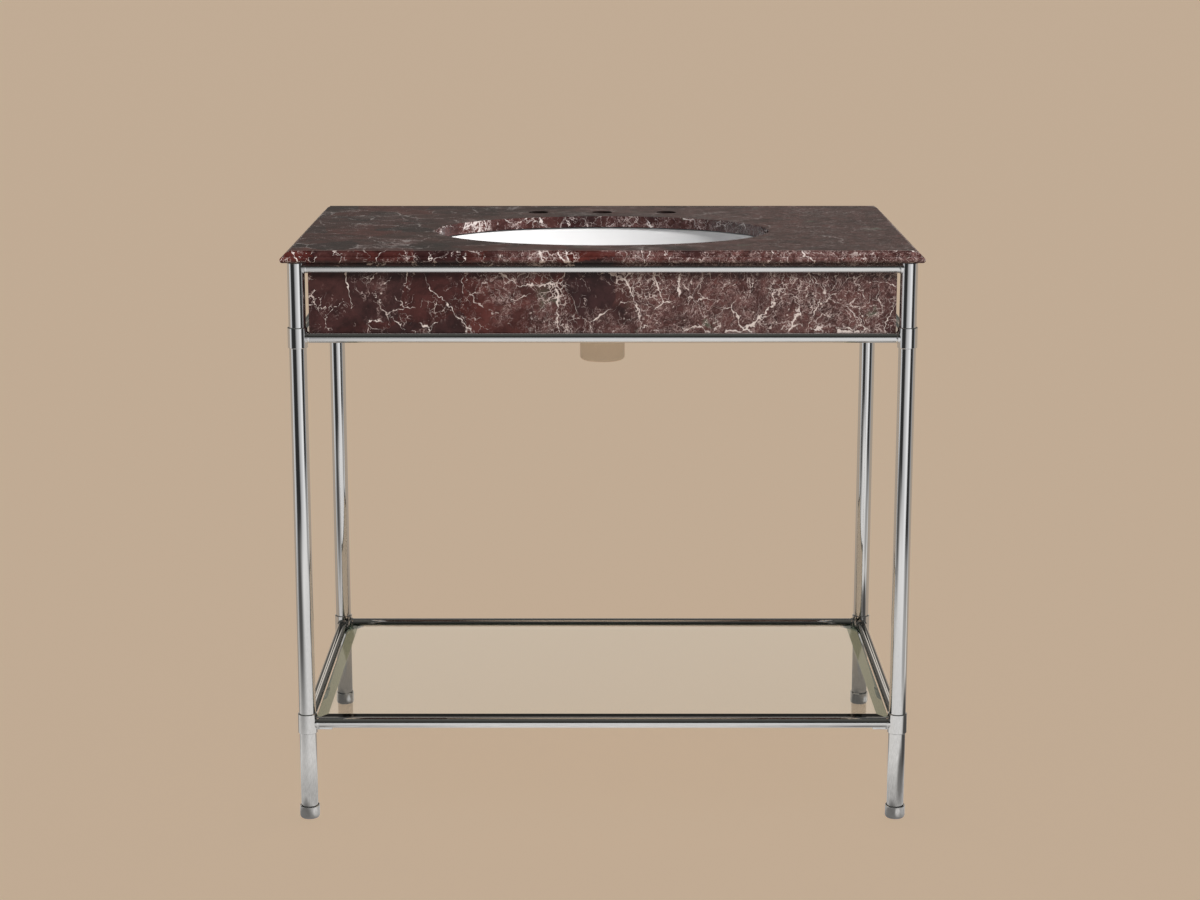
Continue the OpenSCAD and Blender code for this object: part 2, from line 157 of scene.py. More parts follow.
def cut_away(piece, *cutters):
    """Cuts the cutters' shapes out of the piece, and throws the cutters away."""
    for cutter in cutters:
        take_up(piece, mode="OBJECT")
        cut = piece.modifiers.new("cut", "BOOLEAN")
        cut.operation = "DIFFERENCE"
        cut.solver = "EXACT"
        cut.object = cutter
        bpy.ops.object.modifier_apply(modifier=cut.name)
        bpy.data.objects.remove(cutter)


def arc(out, up, radius, start, stop, steps):
    """Points (out, up) round a centre, in degrees that run from straight up towards the outside."""
    turns = [math.radians(start + (stop - start) * k / steps) for k in range(steps + 1)]
    return [(out + radius * math.sin(turn), up + radius * math.cos(turn)) for turn in turns]


def finish_piece(piece, body, slot, smooth_below, replaced):
    """Smooths edges below an angle, dresses the piece, and sets it on its body in a CAD node's place."""
    settle(piece)
    bpy.ops.object.shade_smooth_by_angle(angle=math.radians(smooth_below))
    flat = piece.modifiers.new("flat faces stay flat", "WEIGHTED_NORMAL")
    flat.keep_sharp = True
    bpy.ops.object.modifier_apply(modifier=flat.name)
    piece.data.materials.clear()
    piece.data.materials.append(FINISHES[slot])
    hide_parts(replaced)
    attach(piece, body)
    put_down()


# ---------------------------------------------------------------- shader nodes

def feed(tree, node, inputs):
    """Sets a node's inputs, by name or number, to plain values or links them to sockets."""
    for key, value in inputs.items():
        socket = node.inputs[key]
        if isinstance(value, bpy.types.NodeSocket):
            tree.links.new(value, socket)
        elif socket.type == "RGBA":
            socket.default_value = (*value, 1)
        else:
            socket.default_value = value


def place(tree, kind, inputs=None, **settings):
    """Puts a shader node in a tree, with its settings and inputs."""
    node = tree.nodes.new("ShaderNode" + kind)
    for key, value in settings.items():
        setattr(node, key, value)
    feed(tree, node, inputs or {})
    return node


def sums(tree, operation, first, *others):
    """A number worked out from numbers or sockets, from left to right."""
    if not others:
        return place(tree, "Math", {0: first}, operation=operation).outputs[0]
    for other in others:
        first = place(tree, "Math", {0: first, 1: other}, operation=operation).outputs[0]
    return first


def times(tree, *factors):
    """Numbers or sockets multiplied."""
    return sums(tree, "MULTIPLY", *factors)


def plus(tree, *terms):
    """Numbers or sockets added up."""
    return sums(tree, "ADD", *terms)


def vectors(tree, operation, a, b):
    """A vector worked out from two, except that SCALE takes a number as b and DISTANCE gives one."""
    second = 3 if operation == "SCALE" else 1
    node = place(tree, "VectorMath", {0: a, second: b}, operation=operation)
    return node.outputs[1 if operation == "DISTANCE" else 0]


def remap(tree, value, low, high, to_low=0.0, to_high=1.0, soft=False):
    """Carries the stretch from low to high over to another one, and holds it at the ends."""
    node = place(tree, "MapRange", {"Value": value, "From Min": low, "From Max": high,
                                    "To Min": to_low, "To Max": to_high},
                 interpolation_type="SMOOTHSTEP" if soft else "LINEAR")
    return node.outputs[0]


def ramp(tree, fac, *stops, smooth=True):
    """A mask or colour that runs through stops of (place, colour or grey)."""
    node = place(tree, "ValToRGB", {"Fac": fac})
    node.color_ramp.interpolation = "EASE" if smooth else "LINEAR"
    while len(node.color_ramp.elements) < len(stops):
        node.color_ramp.elements.new(0.5)
    for element, (spot, colour) in zip(node.color_ramp.elements, stops):
        element.position = spot
        element.color = (colour,) * 3 + (1,) if isinstance(colour, (int, float)) else (*colour, 1)
    return node.outputs["Color"]


def blend(tree, fac, a, b, how="MIX"):
    """Colour a with colour b laid over it by fac."""
    node = place(tree, "Mix", {"Factor": fac}, data_type="RGBA", blend_type=how)
    feed(tree, node, {6: a, 7: b})
    return node.outputs[2]


def noise(tree, vector, scale, detail, roughness=0.5, distortion=0.0):
    """Cloudy noise round 0.5."""
    node = place(tree, "TexNoise", {"Vector": vector, "Scale": scale, "Detail": detail,
                                    "Roughness": roughness, "Distortion": distortion})
    return node.outputs["Fac"]


def cells(tree, vector, scale, feature="F1"):
    """The outputs of a pattern of broken cells: their Distance and their random Color."""
    return place(tree, "TexVoronoi", {"Vector": vector, "Scale": scale}, feature=feature).outputs


def channel(tree, colour, number=0):
    """One channel of a colour, as a number."""
    return place(tree, "SeparateColor", {"Color": colour}).outputs[number]


def along(tree, vector):
    """The X, Y and Z of a vector."""
    return place(tree, "SeparateXYZ", {"Vector": vector}).outputs


def mirrored_only(tree):
    """A mask that is 1 for what a polished surface mirrors, and 0 for what glass lets through."""
    light = tree.nodes.new("ShaderNodeLightPath").outputs
    return times(tree, light["Is Glossy Ray"], sums(tree, "SUBTRACT", 1.0, light["Is Transmission Ray"]))


# ---------------------------------------------------------------- shader groups

def new_group(name, numbers, outputs):
    """A shader group that takes a Vector and numbers; returns its tree, what goes in and what comes out."""
    tree = bpy.data.node_groups.new(name, "ShaderNodeTree")
    tree.interface.new_socket("Vector", in_out="INPUT", socket_type="NodeSocketVector")
    for label, value in numbers.items():
        socket = tree.interface.new_socket(label, in_out="INPUT", socket_type="NodeSocketFloat")
        socket.default_value = value
    for label, kind in outputs.items():
        tree.interface.new_socket(label, in_out="OUTPUT", socket_type="NodeSocket" + kind)
    return tree, tree.nodes.new("NodeGroupInput").outputs, tree.nodes.new("NodeGroupOutput").inputs


def use_group(tree, group, **inputs):
    """The outputs of a group; an underscore stands for a space in an input's name."""
    node = tree.nodes.new("ShaderNodeGroup")
    node.node_tree = group
    feed(tree, node, {key.replace("_", " "): value for key, value in inputs.items()})
    return node.outputs


def make_warp():
    """Bends the straight lines of a pattern as rock is bent: broadly, then tightly, then in jags."""
    tree, given, out = new_group("stone_warp", {"Coarse": 0.05, "Fine": 0.01, "Jags": 0.002},
                                 {"Vector": "Vector"})
    bent = given["Vector"]
    for amount, scale, detail in (("Coarse", 6.0, 2.0), ("Fine", 32.0, 3.0), ("Jags", 170.0, 2.0)):
        push = place(tree, "TexNoise", {"Vector": given["Vector"], "Scale": scale, "Detail": detail})
        off = vectors(tree, "SUBTRACT", push.outputs["Color"], (0.5, 0.5, 0.5))
        bent = vectors(tree, "ADD", bent, vectors(tree, "SCALE", off, given[amount]))
    tree.links.new(bent, out["Vector"])
    return tree


def make_vein_network():
    """Lines between the broken pieces of a rock, that swell, thin out and stop."""
    tree, given, out = new_group(
        "vein_network", {"Scale": 12.0, "Thickness": 0.002, "Broken": 0.5, "Patch Scale": 8.0},
        {"Mask": "Float", "Clast": "Float"})
    edge = cells(tree, given["Vector"], given["Scale"], "DISTANCE_TO_EDGE")["Distance"]
    away = sums(tree, "DIVIDE", edge, given["Scale"])
    patch = noise(tree, given["Vector"], given["Patch Scale"], 3.0)
    swell = remap(tree, patch, given["Broken"], plus(tree, given["Broken"], 0.22), soft=True)
    knots = noise(tree, given["Vector"], times(tree, given["Patch Scale"], 7.0), 2.0)
    knots = remap(tree, knots, 0.36, 0.66, 0.35, 2.0)
    width = sums(tree, "MAXIMUM", times(tree, swell, given["Thickness"], knots), 0.00001)
    line = remap(tree, away, times(tree, width, 0.45), width, 1.0, 0.0, soft=True)
    there = sums(tree, "GREATER_THAN", swell, 0.02)
    tree.links.new(times(tree, line, there), out["Mask"])
    clast = cells(tree, given["Vector"], given["Scale"])["Color"]
    tree.links.new(channel(tree, clast), out["Clast"])
    return tree


def make_stone_threads():
    """Curling threads that follow the contours of a bent noise, kept only in patches."""
    tree, given, out = new_group(
        "stone_threads", {"Scale": 20.0, "Width": 0.03, "Curl": 0.5, "Patch Scale": 20.0, "Kept": 0.5},
        {"Mask": "Float"})
    contour = noise(tree, given["Vector"], given["Scale"], 3.0, distortion=given["Curl"])
    off = sums(tree, "ABSOLUTE", sums(tree, "SUBTRACT", contour, 0.5))
    line = remap(tree, off, times(tree, given["Width"], 0.3), given["Width"], 1.0, 0.0, soft=True)
    patch = noise(tree, given["Vector"], given["Patch Scale"], 3.0)
    low = sums(tree, "SUBTRACT", 1.0, given["Kept"])
    there = remap(tree, patch, sums(tree, "SUBTRACT", low, 0.04), plus(tree, low, 0.06), soft=True)
    tree.links.new(times(tree, line, there), out["Mask"])
    return tree


def make_fine_scuffs():
    """Roughness of a polished face: faint cloudy wear and hair-fine marks."""
    tree, given, out = new_group("fine_scuffs", {"Base": 0.05, "Spread": 0.04, "Scale": 20.0},
                                 {"Roughness": "Float"})
    cloud = noise(tree, given["Vector"], given["Scale"], 4.0)
    stretched = place(tree, "Mapping", {"Vector": given["Vector"], "Scale": (1.0, 0.25, 0.6),
                                        "Rotation": (0.4, 0.9, 0.3)}).outputs[0]
    hairs = noise(tree, stretched, times(tree, given["Scale"], 14.0), 2.0)
    marks = remap(tree, hairs, 0.62, 0.75)
    wear = plus(tree, times(tree, cloud, 0.7), times(tree, marks, 0.5))
    tree.links.new(plus(tree, given["Base"], times(tree, wear, given["Spread"])), out["Roughness"])
    return tree


STONE_WARP = make_warp()
VEIN_NETWORK = make_vein_network()
STONE_THREADS = make_stone_threads()
FINE_SCUFFS = make_fine_scuffs()


# ---------------------------------------------------------------- finishes

def new_finish(name):
    """A material with its Principled shader; returns material, tree, shader and object coordinates."""
    material = bpy.data.materials.new(name)
    material.use_nodes = True
    tree = material.node_tree
    coords = tree.nodes.new("ShaderNodeTexCoord").outputs["Object"]
    return material, tree, tree.nodes["Principled BSDF"], coords


def burgundy_marble():
    """Broken dark red rock: plum and red clasts, rosy crushed zones, curling threads and white veins."""
    material, tree, shader, coords = new_finish("burgundy_marble")
    tilt = place(tree, "Mapping", {"Vector": coords, "Rotation": (0.5, 0.35, 0.6),
                                   "Location": (0.3, 0.1, 0.05)}).outputs[0]
    rock = use_group(tree, STONE_WARP, Vector=tilt, Coarse=0.045, Fine=0.014, Jags=0.007)[0]
    joints = use_group(tree, STONE_WARP, Vector=tilt, Coarse=0.022, Fine=0.016, Jags=0.009)[0]
    strands = place(tree, "Mapping", {"Vector": rock, "Rotation": (0.3, 0.95, 0.1),
                                      "Scale": (0.9, 1.0, 1.35)}, vector_type="TEXTURE").outputs[0]

    # Where the rock is crushed: little on the left, most of it on the right
    spot = along(tree, coords)
    side = remap(tree, spot["X"], -0.35, 0.35)
    drift = noise(tree, rock, 9.0, 3.0)
    crushed = plus(tree, times(tree, side, 0.55), times(tree, drift, 1.6))
    crushed = remap(tree, crushed, 0.85, 1.2, soft=True)

    # Clasts, with cloudy shading inside each, crumbs where they are crushed, and a few green stains
    thinner = sums(tree, "SUBTRACT", 1.0, times(tree, side, 0.4))
    clasts = use_group(tree, VEIN_NETWORK, Vector=rock, Scale=14.0, Broken=0.48, Patch_Scale=18.0,
                       Thickness=times(tree, thinner, 0.0018))
    body = ramp(tree, clasts["Clast"], (0.0, (0.028, 0.012, 0.013)), (0.35, (0.040, 0.015, 0.015)),
                (0.55, (0.078, 0.020, 0.017)), (0.75, (0.042, 0.017, 0.017)),
                (1.0, (0.057, 0.021, 0.019)))
    rosy = (0.082, 0.035, 0.032)
    body = blend(tree, times(tree, crushed, 0.75), body, rosy)
    cloud = noise(tree, rock, 42.0, 7.0, roughness=0.66)
    body = blend(tree, 1.0, body, ramp(tree, cloud, (0.28, 0.55), (0.72, 1.5)), how="MULTIPLY")
    grain = channel(tree, cells(tree, rock, 190.0)["Color"])
    crumbs = blend(tree, grain, (0.62, 0.60, 0.60), (1.5, 1.45, 1.45))
    body = blend(tree, plus(tree, times(tree, crushed, 0.6), 0.1), body,
                 blend(tree, 1.0, body, crumbs, how="MULTIPLY"))
    stain = ramp(tree, noise(tree, rock, 19.0, 3.0), (0.66, 0.0), (0.73, 0.75))
    grey_green = (0.085, 0.105, 0.072)
    body = blend(tree, times(tree, stain, crushed), body, grey_green)

    # Threads, densest where the rock is crushed: scale, width, curl, patch scale, share kept, tone, strength
    colour = body
    dense = plus(tree, times(tree, crushed, 0.21), 0.365)
    sparse = plus(tree, times(tree, crushed, 0.09), 0.415)
    for scale, width, curl, patch, kept, tone, strength in (
            (230.0, 0.050, 0.9, 80.0, dense, (0.23, 0.145, 0.14), 0.45),
            (120.0, 0.024, 1.0, 55.0, dense, (0.42, 0.31, 0.30), 0.65),
            (52.0, 0.010, 0.5, 34.0, sparse, (0.56, 0.46, 0.45), 0.85),
            (24.0, 0.006, 0.2, 24.0, sparse, (0.70, 0.62, 0.60), 0.95)):
        threads = use_group(tree, STONE_THREADS, Vector=strands, Scale=scale, Width=width, Curl=curl,
                            Patch_Scale=patch, Kept=kept)
        colour = blend(tree, times(tree, threads["Mask"], strength), colour, tone)

    # Cracks, from fine to broad: scale, thickness, how broken, patch scale, tone, strength
    pale, white = (0.62, 0.53, 0.51), (0.78, 0.70, 0.68)
    for scale, thickness, broken, patch, tone, strength in (
            (100.0, 0.0012, 0.55, 13.0, pale, 0.85),
            (26.0, 0.0010, 0.49, 24.0, (0.66, 0.57, 0.55), 0.85),
            (9.5, 0.0013, 0.46, 13.0, (0.76, 0.68, 0.66), 0.95)):
        cracks = use_group(tree, VEIN_NETWORK, Vector=joints, Scale=scale, Broken=broken,
                           Patch_Scale=patch, Thickness=times(tree, thinner, thickness))
        colour = blend(tree, times(tree, cracks["Mask"], strength), colour, tone)
    colour = blend(tree, times(tree, clasts["Mask"], 0.95), colour, white)
    fleck = cells(tree, rock, 210.0)
    chosen = sums(tree, "GREATER_THAN", channel(tree, fleck["Color"], 1), 0.90)
    flecks = times(tree, sums(tree, "LESS_THAN", fleck["Distance"], 0.27), chosen, crushed, 0.85)
    colour = blend(tree, flecks, colour, pale)

    # Painted shade: the broad top has its veins toned down towards the dark body, darker and quieter than the
    # edges. The tap holes' walls are left rough, with painted shade inside them
    top = sums(tree, "GREATER_THAN", spot["Z"], SLAB_TOP - 0.0002)
    colour = blend(tree, times(tree, top, 0.6), colour, body)
    flat = place(tree, "CombineXYZ", {"X": spot["X"], "Y": spot["Y"]}).outputs[0]
    rough_and_shaded_holes = 0.0
    for x, y in TAP_HOLES:
        away = vectors(tree, "DISTANCE", flat, (x, y, 0.0))
        rough_and_shaded_holes = sums(tree, "MAXIMUM", rough_and_shaded_holes, sums(tree, "LESS_THAN", away, TAP_R + 0.0003))
    # Painted shade: the tap holes' walls are painted near-black, as shade inside the holes
    colour = blend(tree, times(tree, rough_and_shaded_holes, 0.9), colour, (0.006, 0.005, 0.005))

    # The whole stone is a fifth darker than its parts, under a low polish
    colour = blend(tree, 0.2, colour, (0.0, 0.0, 0.0))
    scuffs = use_group(tree, FINE_SCUFFS, Vector=coords, Base=0.06, Spread=0.06, Scale=14.0)
    roughness = sums(tree, "MAXIMUM", scuffs["Roughness"], times(tree, rough_and_shaded_holes, 0.7))
    feed(tree, shader, {"Base Color": colour, "Roughness": roughness, "IOR": 1.34})
    return material


def glazed_china():
    """White glaze, a little whiter low on the bowl, and bare fireclay on the boss."""
    material, tree, shader, coords = new_finish("glazed_china")
    height = along(tree, coords)["Z"]
    ripple = noise(tree, coords, 30.0, 3.0)
    glaze = blend(tree, ripple, (0.72, 0.725, 0.74), (0.75, 0.755, 0.77))
    lowest = remap(tree, height, 0.698, 0.716, 1.0, 0.0)
    glaze = blend(tree, lowest, glaze, (0.88, 0.89, 0.90))
    grit = noise(tree, coords, 900.0, 3.0)
    clay = blend(tree, grit, (0.76, 0.67, 0.56), (0.90, 0.81, 0.69))
    bare = remap(tree, plus(tree, height, times(tree, ripple, 0.004)), 0.6920, 0.6945, 1.0, 0.0)
    bump = place(tree, "Bump", {"Height": times(tree, grit, bare), "Strength": 0.25, "Distance": 0.0004})
    feed(tree, shader, {"Base Color": blend(tree, bare, glaze, clay), "Normal": bump.outputs[0],
                        "Roughness": plus(tree, times(tree, bare, 0.55), 0.07)})
    return material


def shelf_glass():
    """Clear float glass with a painted dark green reflection on its front and side bevels, and ground edges,
    that throws a faint shadow.
    """
    material, tree, shader, coords = new_finish("shelf_glass")
    low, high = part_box("glass_shelf")
    middle, half = (low + high) / 2, (high - low) / 2
    spot = along(tree, coords)
    out_x = sums(tree, "ABSOLUTE", sums(tree, "SUBTRACT", spot["X"], middle.x))
    out_y = sums(tree, "ABSOLUTE", sums(tree, "SUBTRACT", spot["Y"], middle.y))
    haze = noise(tree, coords, 12.0, 4.0)
    colour = blend(tree, haze, (0.985, 0.995, 0.990), (0.992, 0.998, 0.995))
    bevel_painted_reflection = sums(tree, "MAXIMUM", sums(tree, "GREATER_THAN", out_x, half.x - GLASS_BEVEL),
                    sums(tree, "LESS_THAN", spot["Y"], low.y + GLASS_BEVEL))
    bevel_painted_reflection = times(tree, sums(tree, "GREATER_THAN", spot["Z"], middle.z), bevel_painted_reflection)
    # Painted reflection: the front and side bevels are tinted dark green, the back one is not
    colour = blend(tree, bevel_painted_reflection, colour, (0.22, 0.30, 0.24))
    skin = 0.0005
    on_edge = sums(tree, "MAXIMUM", sums(tree, "GREATER_THAN", out_x, half.x - skin),
                   sums(tree, "GREATER_THAN", out_y, half.y - skin))
    colour = blend(tree, on_edge, colour, (0.05, 0.13, 0.09))
    roughness = plus(tree, times(tree, haze, 0.012), times(tree, on_edge, 0.4))
    feed(tree, shader, {"Base Color": colour, "Roughness": roughness, "IOR": 1.52,
                        "Transmission Weight": 1.0})
    clear = place(tree, "BsdfTransparent", {"Color": (0.95, 0.965, 0.955)})
    for_shadow = tree.nodes.new("ShaderNodeLightPath").outputs["Is Shadow Ray"]
    mix = place(tree, "MixShader", {0: for_shadow, 1: shader.outputs[0], 2: clear.outputs[0]})
    tint = place(tree, "VolumeAbsorption", {"Color": (0.40, 0.82, 0.62), "Density": 2.0})
    feed(tree, tree.nodes["Material Output"], {"Surface": mix.outputs[0], "Volume": tint.outputs[0]})
    return material


def black_silicone():
    """Black rubbery sealant and pads, with faint drag marks."""
    material, tree, shader, coords = new_finish("black_silicone")
    drag = noise(tree, coords, 160.0, 3.0)
    bump = place(tree, "Bump", {"Height": drag, "Strength": 0.2, "Distance": 0.0005})
    feed(tree, shader, {"Base Color": blend(tree, drag, (0.012, 0.012, 0.012), (0.030, 0.029, 0.028)),
                        "Roughness": plus(tree, times(tree, drag, 0.3), 0.3), "Normal": bump.outputs[0]})
    return material


def bare_metal(tree, shader, coords, colour, base, spread, scale):
    """Makes a shader metal, with the colour and with scuffs."""
    scuffs = use_group(tree, FINE_SCUFFS, Vector=coords, Base=base, Spread=spread, Scale=scale)
    feed(tree, shader, {"Base Color": colour, "Roughness": scuffs["Roughness"], "Metallic": 1.0})


def polished_chrome():
    """Mirror chrome, whose sharp edges catch the light as if slightly rounded."""
    material, tree, shader, coords = new_finish("polished_chrome")
    colour = blend(tree, noise(tree, coords, 9.0, 3.0), (0.80, 0.80, 0.81), (0.88, 0.88, 0.88))
    bare_metal(tree, shader, coords, colour, 0.02, 0.05, 25.0)
    rounded = place(tree, "Bevel", {"Radius": 0.0007}, samples=4)
    feed(tree, shader, {"Normal": rounded.outputs[0]})
    return material


def zinc_steel():
    """Zinc-plated steel with small spangles."""
    material, tree, shader, coords = new_finish("zinc_steel")
    spangle = channel(tree, cells(tree, coords, 260.0)["Color"])
    colour = blend(tree, spangle, (0.44, 0.45, 0.46), (0.62, 0.63, 0.63))
    bare_metal(tree, shader, coords, colour, 0.25, 0.25, 60.0)
    return material


def turned_brass():
    """Brass from the lathe, a little tarnished."""
    material, tree, shader, coords = new_finish("turned_brass")
    colour = blend(tree, noise(tree, coords, 120.0, 4.0), (0.66, 0.47, 0.20), (0.50, 0.34, 0.14))
    bare_metal(tree, shader, coords, colour, 0.15, 0.25, 80.0)
    return material


FINISHES = {
    "marble": burgundy_marble(),
    "vitreous_china": glazed_china(),
    "polished_chrome": polished_chrome(),
    "shelf_glass": shelf_glass(),
    "silicone": black_silicone(),
    "steel": zinc_steel(),
    "brass": turned_brass(),
}
for subpart in frame["record"]["subparts"]:
    node = frame["nodes"][subpart["node"]]
    node.data.materials.clear()
    node.data.materials.append(FINISHES[subpart["material_slot"]])


# ---------------------------------------------------------------- marble slab

def moulding():
    """The moulding as (out, up) from the top arris: eased arris, quirk, quarter round and bead."""
    ease = 0.0009
    quarter_round = arc(0, -0.008, 0.0065, 0, 90, 10)
    bead = arc(0.0075, -0.0125, 0.0045, 0, 180, 16)
    return arc(-ease, -ease, ease, 0, 90, 3) + quarter_round + bead


def marble_slab():
    """The slab: a sheet whose edges go down the moulding, with the oval and the tap holes cut out."""
    moulding_out, arris, cutter_length = 0.012, 0.0012, 0.06
    oval_wide, oval_deep = 0.251, 0.173
    steps = moulding()
    inner_half, inner_depth = SLAB_HALF - moulding_out, 2 * SLAB_BACK - moulding_out
    half, depth = inner_half + steps[0][0], inner_depth + steps[0][0]
    put_down()
    bpy.ops.mesh.primitive_plane_add(size=1)
    slab = named("slab")
    take_up(slab)
    stretch((2 * half, depth, 1), (0, SLAB_BACK - depth / 2, SLAB_TOP))
    pick(slab, "EDGE")
    for (out0, up0), (out1, up1) in zip(steps, steps[1:]):
        bpy.ops.mesh.extrude_edges_move(TRANSFORM_OT_translate={"value": (0, 0, up1 - up0)})
        wide = (inner_half + out1) / (inner_half + out0)
        deep = (inner_depth + out1) / (inner_depth + out0)
        bpy.ops.transform.resize(value=(wide, deep, 1), center_override=(0, SLAB_BACK, SLAB_TOP))
    bpy.ops.mesh.edge_face_add()
    weld(0.000005)

    put_down()
    bpy.ops.mesh.primitive_cylinder_add(vertices=144, radius=1, depth=cutter_length,
                                        location=(0, 0, SLAB_UNDER))
    oval = named("oval_cutter")
    take_up(oval)
    stretch((oval_wide, oval_deep, 1), (0, OVAL_Y, 0))
    settle(oval)
    cut_away(slab, oval, *[rod(TAP_R, (x, y, SLAB_UNDER), cutter_length, "Z") for x, y in TAP_HOLES])

    # Polished arrises round the cut-out and the tap holes
    def on_rim(co):
        if abs(co.z - SLAB_TOP) > 1e-5:
            return False
        from_middle = (co.x / oval_wide) ** 2 + ((co.y - OVAL_Y) / oval_deep) ** 2
        by_tap_hole = [abs(math.hypot(co.x - x, co.y - y) - TAP_R) < 0.0002 for x, y in TAP_HOLES]
        return abs(from_middle - 1) < 0.004 or any(by_tap_hole)

    take_up(slab)
    pick(slab, "EDGE", on_rim)
    bpy.ops.mesh.bevel(offset=arris, segments=3, affect="EDGES", clamp_overlap=True)
    finish_piece(slab, "washstand", "marble", 25, "marble_top")


marble_slab()


# ---------------------------------------------------------------- marble apron

def apron_slab():
    """The apron: a slab with eased edges, hollowed along its top and bottom where the rails lie."""
    top_rail_z, lower_rail_z = 0.8258, 0.725
    eased, hollow_r = 0.001, 0.0081
    apron = node_block("marble_apron", "apron")
    take_up(apron)
    bpy.ops.mesh.select_all(action="SELECT")
    bpy.ops.mesh.bevel(offset=eased, segments=3, affect="EDGES")
    cut_away(apron, *[rod(hollow_r, (0, LEG_FRONT, z), 1.0, "X", 64) for z in (top_rail_z, lower_rail_z)])
    finish_piece(apron, "washstand", "marble", 25, "marble_apron")


apron_slab()


# ---------------------------------------------------------------- basin

def basin_rings():
    """Half width, half depth and height of each ring: boss, outside, clamped rim, inside, waste hole."""
    edge_wide, edge_deep, depth, wall, squareness = 0.253, 0.175, 0.130, 0.010, 2.6
    rim_out, rim_under, rim_round = 0.022, RIM_TOP - 0.014, 0.002
    boss_r, boss_round, neck_z, seat_z = 0.034, 0.005, 0.688, 0.6995

    def disc(r, z):
        return r, r, z

    def oval(out, z):
        return edge_wide + out, edge_deep + out, z

    def bowl(out, bottom_r, turn):
        spread = math.cos(turn) ** (2 / squareness)
        drop = (depth + out) * math.sin(turn) ** (2 / squareness)
        return (bottom_r + (edge_wide + out - bottom_r) * spread,
                bottom_r + (edge_deep + out - bottom_r) * spread, RIM_TOP - drop)

    turns = [math.radians(90 - 3.75 * k) for k in range(25)]
    boss_edge = arc(boss_r - boss_round, BOSS_UNDER + boss_round, boss_round, 180, 90, 6)
    boss = [disc(WASTE_R, BOSS_UNDER), *[disc(r, z) for r, z in boss_edge], disc(boss_r, neck_z),
            disc(boss_r + 0.0007, neck_z + 0.0025), disc(boss_r + 0.003, neck_z + 0.004)]
    outside = [bowl(wall, boss_r, turn) for turn in turns[1:22]]
    outside += [oval(wall, rim_under - 0.001), oval(wall + 0.001, rim_under)]
    rim_edge = arc(rim_out - rim_round, rim_under + rim_round, rim_round, 180, 90, 4)
    rim = [*[oval(out, z) for out, z in rim_edge], oval(rim_out, RIM_TOP - 0.0015),
           oval(rim_out - 0.0015, RIM_TOP), oval(0.002, RIM_TOP), oval(0.0006, RIM_TOP - 0.0006)]
    inside = [bowl(0, 0.032, turn) for turn in reversed(turns[:-1])]
    waste = [disc(0.0315, seat_z + 0.0025), disc(0.031, seat_z + 0.0005), disc(0.0295, seat_z),
             disc(WASTE_R + 0.001, seat_z), disc(WASTE_R, seat_z - 0.001)]
    return boss + outside + rim + inside + waste


def basin_bowl():
    """The basin, drawn out ring by ring and closed at the first one."""
    rings = basin_rings()
    put_down()
    bpy.ops.mesh.primitive_circle_add(vertices=96, radius=1, fill_type="NOTHING")
    bowl = named("bowl")
    take_up(bowl, by="EDGE")
    wide0, deep0, z0 = rings[0]
    stretch((wide0, deep0, 1), (0, OVAL_Y, z0))
    for wide, deep, z in rings[1:] + rings[:1]:
        bpy.ops.mesh.extrude_edges_move(TRANSFORM_OT_translate={"value": (0, 0, z - z0)})
        bpy.ops.transform.resize(value=(wide / wide0, deep / deep0, 1), center_override=(0, OVAL_Y, z))
        wide0, deep0, z0 = wide, deep, z
    weld(0.00001)
    finish_piece(bowl, "washstand", "vitreous_china", 40, "basin")


basin_bowl()


# ---------------------------------------------------------------- glass shelf

def glass_pane():
    """The pane, with a flat bevel round its top and eased edges."""
    bevel_drop, eased, hair = 0.002, 0.0007, 0.0001
    low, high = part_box("glass_shelf")
    middle_y = (low.y + high.y) / 2

    def on_top(co):
        return co.z > high.z - hair

    def on_side(co):
        return abs(co.x) > high.x - hair or abs(co.y - middle_y) > high.y - middle_y - hair

    pane = node_block("glass_shelf", "pane")
    take_up(pane)
    pick(pane, "FACE", on_top)
    bpy.ops.mesh.inset(thickness=GLASS_BEVEL)
    pick(pane, "EDGE", lambda co: on_top(co) and on_side(co))
    bpy.ops.transform.translate(value=(0, 0, -bevel_drop))
    pick(pane, "EDGE", on_side)
    bpy.ops.mesh.bevel(offset=eased, segments=2, affect="EDGES")
    finish_piece(pane, "shelf", "shelf_glass", 5, "glass_shelf")


glass_pane()


# ---------------------------------------------------------------- floor, surroundings, light and camera

